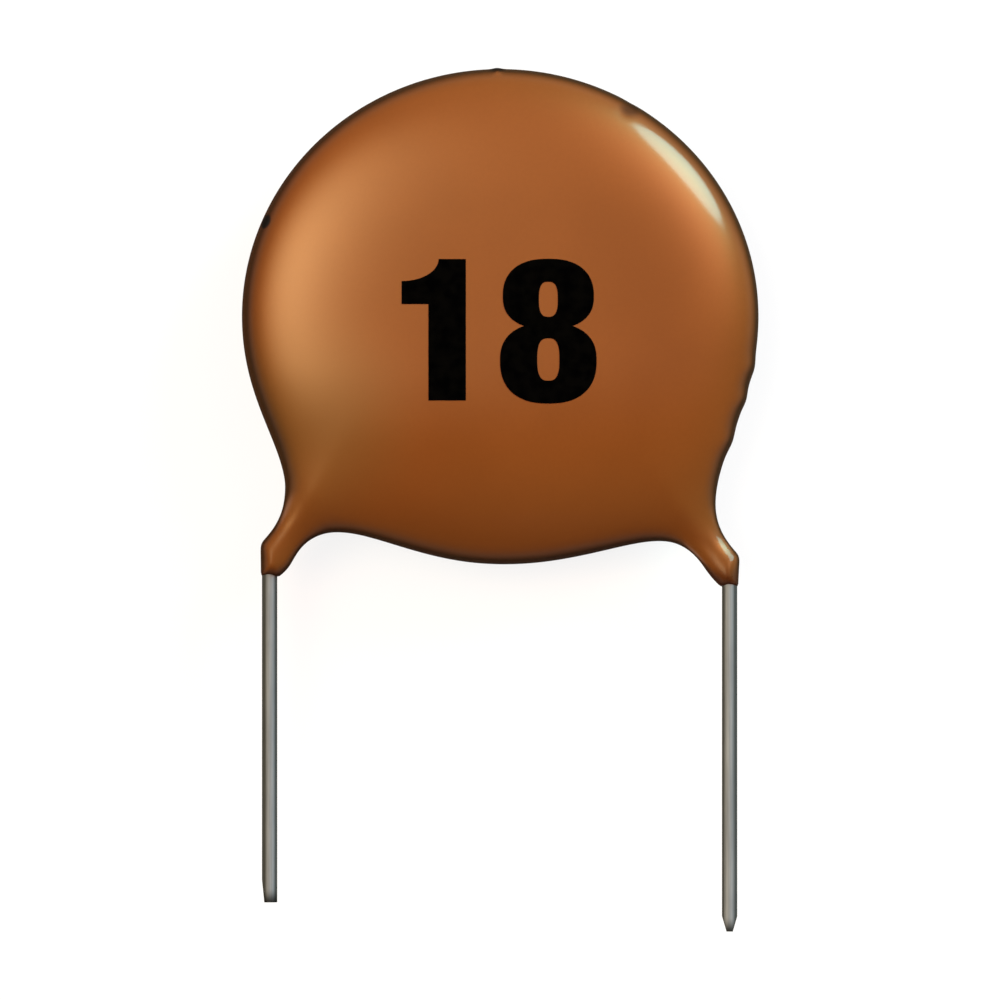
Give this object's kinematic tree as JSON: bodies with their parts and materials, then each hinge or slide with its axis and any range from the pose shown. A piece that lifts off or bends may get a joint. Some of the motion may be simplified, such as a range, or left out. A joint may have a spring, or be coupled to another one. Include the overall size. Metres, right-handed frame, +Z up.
{
  "type": "ceramic disc capacitor",
  "caption": "Round dip-coated ceramic disc capacitor with radial wire leads, for soldering through a circuit board to store a small charge.",
  "frame": {"origin": "under the centre of the disc, on the plane that its rear face lies on", "axes": "+Z up, out of the marked front face; the leads run towards -Y; +X to the right, seen from the front"},
  "size_m": [0.0168, 0.0282, 0.0036],
  "materials": {
    "coating": "glossy orange-brown dipped resin",
    "ceramic": "matt fired ceramic",
    "silver_film": "matt fired silver",
    "tinned_wire": "dull tinned copper wire",
    "solder": "smooth tin solder"
  },
  "bodies": {
    "root": {"coating": "coating", "ceramic_disc": "ceramic", "front_electrode": "silver_film", "rear_electrode": "silver_film", "left_lead": "tinned_wire", "right_lead": "tinned_wire", "front_solder": "solder", "rear_solder": "solder"}
  },
  "joints": []
}
